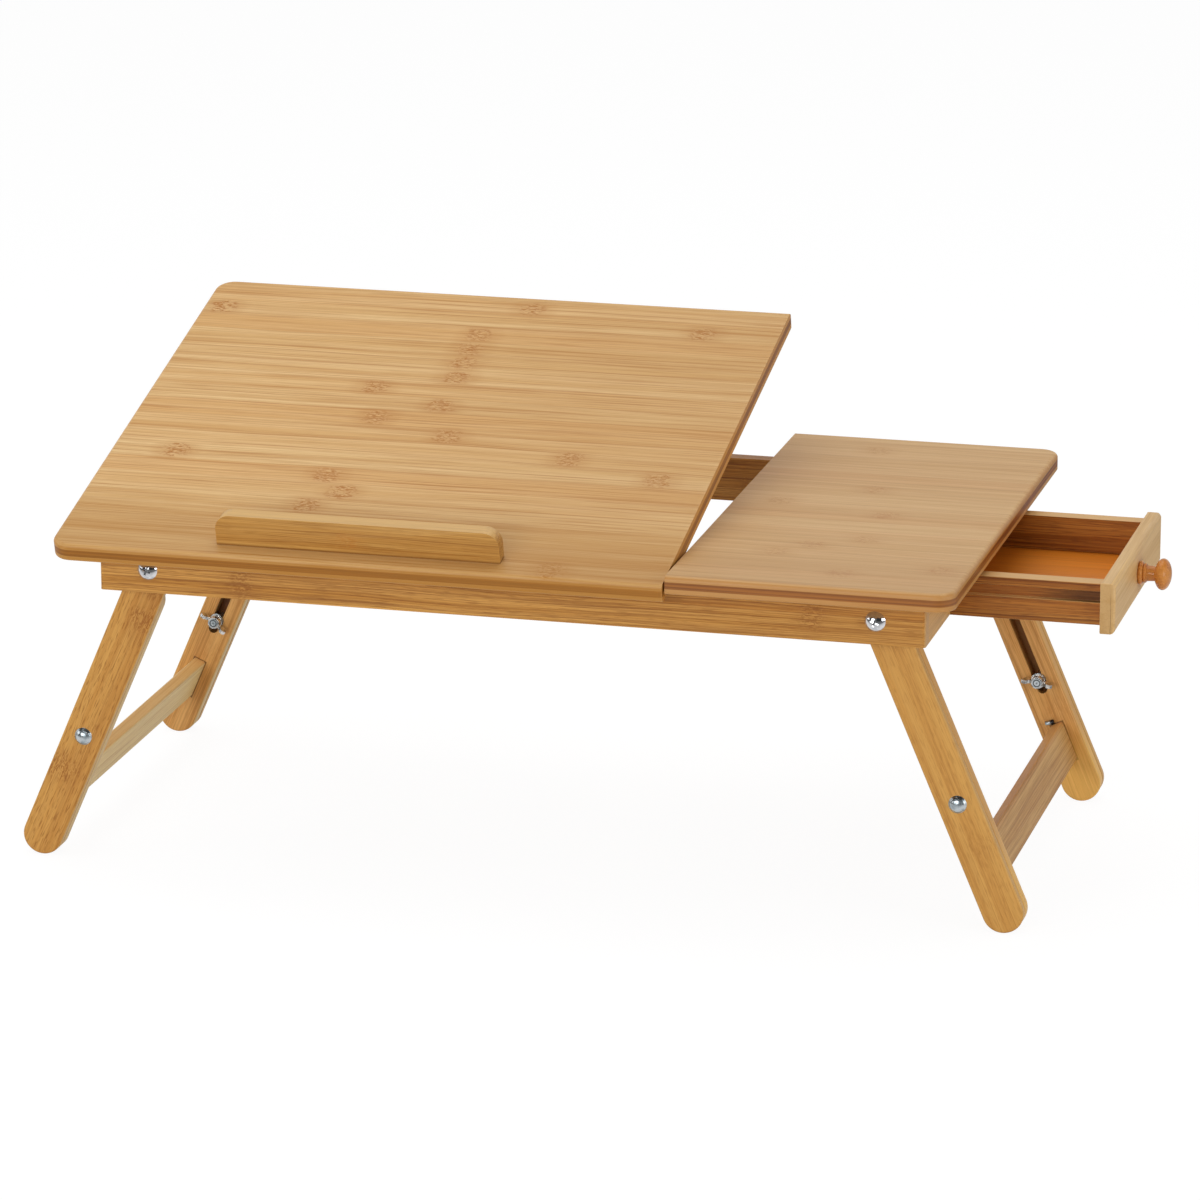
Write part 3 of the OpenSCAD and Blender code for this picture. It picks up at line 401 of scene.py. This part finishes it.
# painted shade: the front rail darkens towards its right end
front_wood = bamboo(
    "bamboo_front_rail", UPRIGHT_X, seed=21.0, knots=[(-0.195, 0.186), (0.155, 0.190)],
    marks=0.7, faces=[(0, 0.6, (222, 184, 124))], shades=[(0, -0.10, 0.20, 0.22, (148, 92, 30))],
    **LONG_RAIL)
rear_wood = bamboo("bamboo_rear_rail", UPRIGHT_X, seed=27.0, knot_gap=0.31, marks=0.6,
                   **LONG_RAIL)
cross_wood = bamboo("bamboo_cross_members", ALONG_Y, seed=31.0, strip=(0.015, 0.012),
                    knot_gap=0.34, faces=[(2, 0.5, (226, 180, 106))], **RAIL)
under_wood = bamboo("bamboo_inner_parts", ALONG_X, seed=37.0, strip=(0.015, 0.012),
                    knot_gap=0.27, **DARK)
strip_wood = bamboo("bamboo_notched_strips", ALONG_Y, seed=41.0, strip=(0.02, 0.02), rough=0.46,
                    dashes=0.5, **LEG)
# painted shade: a dark line along the ledge's foot, where it stands on the panel
ledge_wood = bamboo(
    "bamboo_ledge", LEDGE, seed=43.0, strip=(0.03, 0.012), shift=0.006, knot_size=(0.008, 0.006),
    knots=[(-0.124, 0.019)], pale=(212, 166, 92), mid=(190, 138, 66), deep=(140, 86, 30),
    marks=0.6, dashes=0.25, faces=[(1, 0.6, (228, 190, 130))],
    shades=[(1, 0.0128, 0.0110, 0.75, (110, 62, 22))])
prop_wood = bamboo("bamboo_prop", PROP, seed=47.0, **LEG)
dowel_wood = bamboo("bamboo_dowels", ALONG_X, seed=53.0, pale=(218, 184, 134),
                    mid=(200, 160, 108), deep=(160, 112, 62), rough=0.5)

# the painted shade line between the plates is faint on the right legs
CONTACT = {end: (PLATES_MEET, amount) for end, amount in (("left", 0.8), ("right", 0.3))}
OUTER_LEG = {
    "left": dict(seed=61.0, knots=[(0.036, 0.009), (0.146, -0.006), (0.012, 0.012)], marks=0.85,
                 streaks=0.6, lines=0.2, dashes=0.6, tone=0.8, faces=[(1, 0.6, (226, 186, 112))]),
    "right": dict(seed=67.0, knots=[(0.150, 0.006)], marks=0.2, streaks=0.45, lines=0.15,
                  dashes=0.25, tone=0.65, faces=[(1, 0.35, (226, 186, 112))])}
SLOTTED_LEG = {
    "left": dict(seed=71.0, faces=[(1, 0.65, (230, 206, 140))]),
    # painted light: the right slotted legs are paler towards their feet
    "right": dict(seed=73.0, faces=[(1, 0.45, (226, 178, 98))],
                  shades=[(0, 0.150, 0.180, 0.4, (255, 205, 100))])}
# painted light: the left crossbar's colours are painted much paler than the right's, to stand in
# for light falling on it
CROSSBAR = {
    "left": dict(seed=79.0, pale=(254, 234, 174), mid=(244, 216, 150), deep=(206, 164, 98)),
    "right": dict(seed=83.0, pale=(216, 174, 110), mid=(196, 146, 82), deep=(160, 108, 50))}
leg_wood, slot_wood, bar_wood = {}, {}, {}
for end in ENDS:
    leg_wood[end] = bamboo(
        f"bamboo_{end}_legs", leg_board(end), strip=(0.05, 0.0066), shift=0.025,
        knot_size=(0.010, 0.013), seams=0.0, fleck=125.0, contact=CONTACT[end],
        slot=(*SLOT, PLATES_MEET - 0.2 * MM, PLATES_MEET + 0.4 * MM), **LEG, **OUTER_LEG[end])
    slot_wood[end] = bamboo(
        f"bamboo_{end}_slotted_legs", leg_board(end), strip=(0.05, 0.0098), shift=0.025,
        knots=[(0.143, 0.006)], knot_size=(0.007, 0.010), seams=0.0, marks=0.25,
        joint=(0.165, 0.013, 0.004), pale=(232, 182, 112), mid=(216, 160, 88),
        deep=(168, 110, 50), dashes=0.3, fleck=110.0, contact=CONTACT[end],
        slot=(*SLOT, SLOTTED_IN + 0.5 * MM, PLATES_MEET), **SLOTTED_LEG[end])
    bar_wood[end] = bamboo(
        f"bamboo_{end}_crossbar", board((0, 1, 0), leg_board(end).col[0].xyz),
        strip=(0.014, 0.009), rough=0.46, dashes=0.2, faces=[(1, 0.65, (240, 186, 112))],
        **CROSSBAR[end])

side_wood = bamboo(
    "bamboo_drawer_sides", UPRIGHT_X, seed=89.0, strip=(0.03, 0.0055), pale=(196, 132, 56),
    mid=(166, 99, 31), deep=(102, 49, 9), streaks=1.2, dashes=0.45, grain=1.3, lines=0.5,
    faces=[(1, 0.85, (228, 182, 116))],
    groove=(GROOVE_LOW, GROOVE_LOW + GROOVE_H * MM, 0.262, 0.306))
back_wood = bamboo("bamboo_drawer_back", ALONG_Y, seed=97.0, strip=(0.03, 0.005),
                   pale=(184, 122, 58), mid=(156, 92, 36), deep=(112, 58, 16))
face_wood = bamboo(
    "bamboo_drawer_face", ALONG_Y, seed=101.0, strip=(0.04, 0.05), shift=-0.165,
    pale=(236, 198, 140), mid=(218, 176, 114), deep=(166, 114, 58), streaks=0.4, lines=0.15,
    seams=0.0, faces=[(0, 0.55, (170, 130, 78))])
floor_wood = bamboo(
    "plywood_drawer_floor", ALONG_X, seed=103.0, strip=(0.4, 0.4), seams=0.0,
    pale=(236, 146, 42), mid=(218, 126, 31), deep=(174, 92, 18), streaks=0.35, tone=0.7,
    rough=0.42)
knob_wood = bamboo(
    "lacquered_knob", ALONG_X, seed=107.0, strip=(0.2, 0.2), seams=0.0, pale=(222, 152, 78),
    mid=(204, 128, 54), deep=(166, 92, 30), streaks=0.5, rough=0.14, bump=0.25)


# ---------------------------------------------------------------- metal

BOLT_END = 137 * MM             # |y| inside which a carriage bolt shows its end
TURNED_RING = 2.1 * MM          # radius of the turned ring on it, painted dark as shade
THREAD_R = (2.8 * MM, 2.9 * MM)     # the thread begins between these
THREAD_PITCH = 1 * MM


def metal(name, base, dull, rough, bump, grain=900.0, bolts=(), depth=0.08):
    """Plated metal: cloudy tone, small dull spots and fine pits. Round each bolt's axis, given
    by its x and z, the inner end carries a turned ring and a centre dimple, both painted dark
    as painted shade, and the shank carries a thread."""
    m = bpy.data.materials.new(name)
    t = Tree(m)
    co = t.coords("Object")
    cloud = t.noise(co, scale=grain * 0.25, detail=3.0, rough=0.6)
    pits = t.noise(co, scale=grain * 2.2, rough=0.6)
    col = t.mix(t.step(cloud, 0.35, 0.7), base, dull)
    col = t.mix(t.step(pits, 0.62, 0.74, 0.0, 0.3), col, dull)
    height = t.plus(t.mul(cloud, 0.7), t.mul(pits, 0.3))
    if bolts:
        x, y, z = t.split(co)
        radii = []
        for bolt_x, bolt_z in bolts:
            dx, dz = t.minus(x, bolt_x), t.minus(z, bolt_z)
            radii.append(t.math("SQRT", t.plus(t.mul(dx, dx), t.mul(dz, dz))))
        r = t.math("MINIMUM", *radii)
        inner = t.step(t.size(y), BOLT_END + 0.5 * MM, BOLT_END)
        # painted shade: the turned ring and the centre dimple are darkened as if in shade
        ring_shade = t.step(t.away(r, TURNED_RING), 0.6 * MM, 0.2 * MM, 0.0, 0.85)
        dimple_shade = t.step(r, 0.9 * MM, 0.5 * MM, 0.0, 0.6)
        col = t.mix(t.mul(ring_shade, inner), col, (44, 44, 44))
        col = t.mix(t.mul(dimple_shade, inner), col, (80, 82, 84))
        thread = t.math("SINE", t.mul(y, 2 * math.pi / THREAD_PITCH))
        height = t.plus(height, t.mul(t.mul(thread, t.step(r, *THREAD_R)), 3.0))
    gloss = t.mul_add(t.step(cloud, 0.3, 0.75), rough * 0.9, rough * 0.6)
    t.shader(col, gloss, t.bump(height, depth * MM, bump), Metallic=1.0)
    return m


chrome = metal("chrome_bolts", (236, 236, 238), (196, 198, 204), rough=0.07, bump=0.10)
zinc = metal("zinc_fittings", (202, 210, 214), (146, 160, 166), rough=0.34, bump=0.35)
bolt_steel = metal("zinc_carriage_bolts", (208, 215, 218), (158, 171, 177), rough=0.27,
                   bump=0.15, bolts=CLAMPS)
steel = metal("wing_nut_steel", (232, 230, 226), (132, 130, 126), rough=0.13, bump=0.8,
              grain=1400.0, depth=0.35)
hinge_steel = metal("hinge_steel", (206, 204, 198), (150, 148, 142), rough=0.24, bump=0.3)

black = bpy.data.materials.new("blackened_steel")
t = Tree(black)
cloud = t.noise(t.coords("Object"), scale=900.0, detail=3.0)
t.shader(t.mix(cloud, (26, 27, 32), (62, 62, 66)), 0.32, Metallic=0.8)

# ---------------------------------------------------------------- what each node is made of

FINISH = (
    (tilt_wood, "tilt_top"),
    (fixed_wood, "fixed_top"),
    (front_wood, "front_rail"),
    (rear_wood, "rear_rail"),
    (cross_wood, "left_end_board right_end_board_front right_end_board_rear centre_stretcher"
                 " drawer_stop_rail"),
    (under_wood, "drawer_guides drawer_runners prop_blocks"),
    (strip_wood, "notched_strips"),
    (ledge_wood, "book_ledge"),
    (prop_wood, "prop_side_bars"),
    (dowel_wood, "frame_dowels prop_pivot_dowel prop_foot_dowel left_crossbar_dowels"
                 " right_crossbar_dowels"),
    *((leg_wood[end], f"{end}_leg_front {end}_leg_rear") for end in ENDS),
    *((slot_wood[end], f"{end}_slotted_leg_front {end}_slotted_leg_rear") for end in ENDS),
    *((bar_wood[end], f"{end}_crossbar") for end in ENDS),
    (side_wood, "drawer_side_front drawer_side_rear"),
    (back_wood, "drawer_back"),
    (face_wood, "drawer_face"),
    (floor_wood, "drawer_bottom"),
    (knob_wood, "drawer_knob"),
    (chrome, "pivot_bolts"),
    (zinc, "pivot_spacers lock_nuts hinge_lower_screws hinge_upper_screws ledge_screws"
           " prop_block_screws left_washers right_washers knob_screw"),
    (bolt_steel, "left_carriage_bolts right_carriage_bolts"),
    (steel, "wing_nut_front_left wing_nut_rear_left wing_nut_front_right wing_nut_rear_right"),
    (hinge_steel, "hinge_lower_leaves hinge_pins hinge_upper_leaves"),
)
finish = {name: material for material, names in FINISH for name in names.split()}
for name, obj in nodes.items():
    obj.data.materials.clear()
    obj.data.materials.append(finish[name])

EASED = (                       # width of the softened edges, in mm
    (0.3, "notched_strips"),
    (0.5, "drawer_stop_rail drawer_guides"),
    (0.6, "left_end_board right_end_board_front right_end_board_rear centre_stretcher"
          " drawer_side_front drawer_side_rear drawer_back prop_blocks"),
    (0.7, "front_rail rear_rail drawer_face"),
    (1.0, "book_ledge"),
)
for width, names in EASED:
    for name in names.split():
        weld = nodes[name].modifiers.new("weld", "WELD")
        weld.merge_threshold = SAME
        ease = nodes[name].modifiers.new("ease", "BEVEL")
        ease.width = width * MM
        ease.segments = 2
        ease.limit_method = "ANGLE"
        ease.angle_limit = math.radians(40)
        ease.harden_normals = True


# ---------------------------------------------------------------- small fixing by the crossbar

def new_object(name, data):
    obj = bpy.data.objects.new(name, data)
    bpy.context.scene.collection.objects.link(obj)
    return obj


def rod(name, start, end, radius, material):
    """Short round bar with eased ends, from point to point in the row frame."""
    a, b = Vector(start), Vector(end)
    mesh = bpy.data.meshes.new(name)
    bm = bmesh.new()
    bmesh.ops.create_cone(bm, cap_ends=True, segments=32, radius1=radius, radius2=radius,
                          depth=(b - a).length)
    rims = [e for e in bm.edges if abs(e.verts[0].co.z - e.verts[1].co.z) < SAME]
    bmesh.ops.bevel(bm, geom=rims, offset=radius * 0.3, segments=3, profile=0.5, affect="EDGES")
    for face in bm.faces:
        face.smooth = True
    turn = (b - a).to_track_quat("Z", "Y").to_matrix().to_4x4()
    bm.transform(Matrix.Translation((a + b) / 2) @ turn)
    bm.to_mesh(mesh)
    bm.free()
    piece = new_object(name, mesh)
    mesh.materials.append(material)
    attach(piece, "right_sliding_legs")


rod("crossbar_fixing_barrel", (0.2456, 0.1224, 0.0500), (0.2494, 0.1224, 0.0510), 0.0013, zinc)
rod("crossbar_fixing_plug", (0.2490, 0.1222, 0.0509), (0.2510, 0.1222, 0.0515), 0.0016, black)

# ---------------------------------------------------------------- floor, light, camera

WHITE = (1, 1, 1, 1)

floor_mesh = bpy.data.meshes.new("studio_floor")
bm = bmesh.new()
bmesh.ops.create_grid(bm, x_segments=1, y_segments=1, size=12.0)
bm.to_mesh(floor_mesh)
bm.free()
floor = new_object("studio_floor", floor_mesh)
floor.location = (0, 0, -0.2 * MM)
floor_paint = bpy.data.materials.new("studio_floor")
floor_mesh.materials.append(floor_paint)
t = Tree(floor_paint)
camera_ray, shiny_ray = t.rays()
seen = t.math("MAXIMUM", camera_ray, shiny_ray)
lit = t.add("ShaderNodeBsdfDiffuse", {"Color": t.mix(seen, (226, 224, 220), (92, 92, 92))})
_, floor_y, _ = t.split(t.geometry("Position"))
# the glow that makes the floor white, which mirrors see fade in front of and behind the object
fall = t.mul(t.step(floor_y, -0.60, -0.20, 0.08, 0.75), t.step(floor_y, 0.20, 0.70, 1.0, 0.4))
fall = t.math("MAXIMUM", fall, camera_ray)
glow = t.add("ShaderNodeEmission", {"Color": WHITE, "Strength": t.mul(t.mul(seen, fall), 0.93)})
both = t.add("ShaderNodeAddShader", {0: lit.outputs[0], 1: glow.outputs[0]})
t.put(t.out.inputs[0], both.outputs[0])

world = bpy.data.worlds.new("studio")
bpy.context.scene.world = world
t = Tree(world, "ShaderNodeOutputWorld")
camera_ray, shiny_ray = t.rays()
_, way_y, way_z = t.split(t.coords("Generated"))
# mirrors see white beyond the object, and dimmer behind the camera and up at the ceiling
room = t.mul(t.step(way_y, -0.35, 0.15, 0.05, 1.0), t.step(way_z, 0.38, 0.62, 1.0, 0.35))
ambient = t.add("ShaderNodeBackground", {"Color": WHITE, "Strength": 0.42})
shiny = t.add("ShaderNodeBackground", {"Strength": room})
white = t.add("ShaderNodeBackground", {"Color": WHITE})
unseen = t.add("ShaderNodeMixShader", {0: shiny_ray, 1: ambient.outputs[0], 2: shiny.outputs[0]})
sky = t.add("ShaderNodeMixShader", {0: camera_ray, 1: unseen.outputs[0], 2: white.outputs[0]})
t.put(t.out.inputs[0], sky.outputs[0])

LAMPS = (                       # name, place, the point it faces, size, power
    ("overhead", (-0.25, 0.35, 2.0), (0, 0, 0.2), (2.2, 1.8), 17.0),
    ("front_fill", (-0.5, -2.6, 0.7), (0, 0, 0.12), (1.8, 0.9), 26.5),
    ("right_fill", (2.4, -1.0, 0.6), (0.1, 0, 0.15), (1.2, 1.0), 14.0),
    ("left_fill", (-2.2, -1.0, 0.8), (-0.1, 0, 0.12), (1.0, 1.0), 5.0),
)
for name, place, aim, size, power in LAMPS:
    data = bpy.data.lights.new(name, "AREA")
    data.shape = "RECTANGLE"
    data.size, data.size_y = size
    data.energy = power
    lamp = new_object(name, data)
    lamp.location = place
    lamp.rotation_euler = (Vector(aim) - Vector(place)).to_track_quat("-Z", "Y").to_euler()

CAMERA_AT = (0.8750, -3.4427, 1.1594)    # fitted to the photograph, as are the angles and lens
LOOKS_DOWN, LOOKS_LEFT = math.radians(15.907), math.radians(14.453)
LENS = 179.951

cam_data = bpy.data.cameras.new("camera")
cam_data.sensor_width = 36.0
cam_data.lens = LENS
cam_data.clip_start, cam_data.clip_end = 0.1, 60.0
cam = new_object("camera", cam_data)
cam.location = CAMERA_AT
cam.rotation_euler = (math.radians(90) - LOOKS_DOWN, 0, LOOKS_LEFT)
bpy.context.scene.camera = cam
bpy.context.scene.view_settings.view_transform = "Standard"
